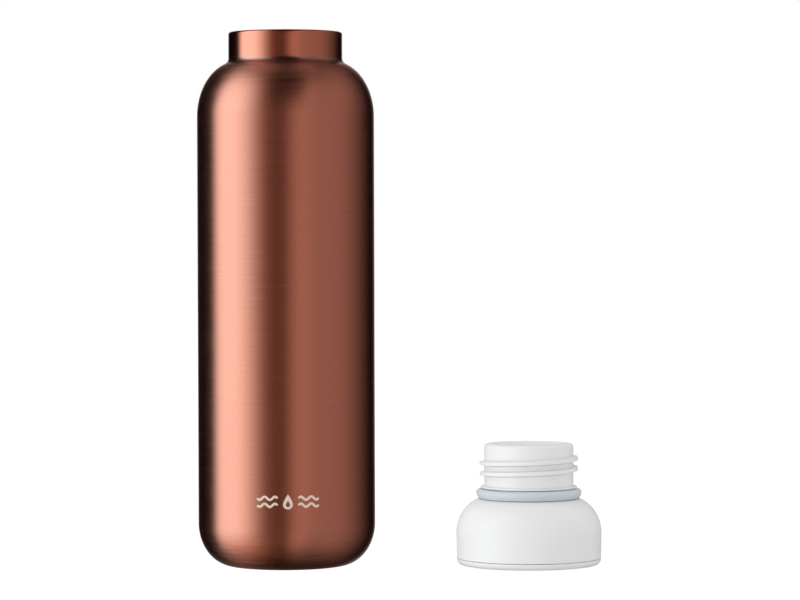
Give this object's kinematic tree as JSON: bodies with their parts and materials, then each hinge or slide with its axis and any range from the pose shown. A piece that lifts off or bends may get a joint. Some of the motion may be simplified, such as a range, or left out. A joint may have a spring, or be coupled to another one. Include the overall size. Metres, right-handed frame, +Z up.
{
  "type": "vacuum bottle",
  "caption": "Slim insulated bottle with a brushed copper finish, open, with its white screw stopper cap standing upside down beside it.",
  "frame": {"origin": "on the surface that the set stands on, in the middle of the box round the bottle and its cap", "axes": "+Z up along the bottle, +X from the bottle to the cap, +Y away from the side that shows both"},
  "size_m": [0.1598, 0.07, 0.211],
  "materials": {
    "copper_finish": "copper-coloured coating on steel, brushed round the body",
    "bare_steel": "satin stainless steel",
    "copper_foil": "bright foil",
    "getter": "matt sintered pellet",
    "sealing_glass": "fused bead",
    "white_plastic": "satin moulded",
    "silicone": "soft satin",
    "foam": "closed-cell foam"
  },
  "bodies": {
    "bottle": {"outer_shell": "copper_finish", "outer_bottom": "bare_steel", "base_plate": "copper_finish", "vacuum_seal_bead": "sealing_glass", "inner_vessel": "bare_steel", "inner_bottom": "bare_steel", "radiation_foil": "copper_foil", "getter_clip": "bare_steel", "getter_pellet": "getter"},
    "carry_stage": {"plug_foam": "foam"},
    "drop_stage": {"dome_foam": "foam"},
    "thread_stage": {"seal_ring": "silicone"},
    "cap": {"cap_plug": "white_plastic", "cap_shell": "white_plastic", "cap_top": "white_plastic"}
  },
  "joints": [
    {"name": "cap_carry", "type": "hinge", "parent": "bottle", "child": "carry_stage", "pos_m": [0.0031, 0, 0.1304], "axis": [0, -1, 0], "range_deg": [0, 180]},
    {"name": "cap_drop", "type": "slide", "parent": "carry_stage", "child": "drop_stage", "axis": [0, 0, 1], "range_m": [0, 0.01325]},
    {"name": "cap_thread", "type": "slide", "parent": "drop_stage", "child": "thread_stage", "axis": [0, 0, 1], "range_m": [0, 0.00615]},
    {"name": "cap_turn", "type": "hinge", "parent": "thread_stage", "child": "cap", "pos_m": [0.0511, 0, 0.03], "axis": [0, 0, 1], "range_deg": [0, 540]}
  ],
  "couplings": [
    {"joint": "cap_thread", "follows": "cap_turn", "m_per_rad": 0.00065254}
  ]
}
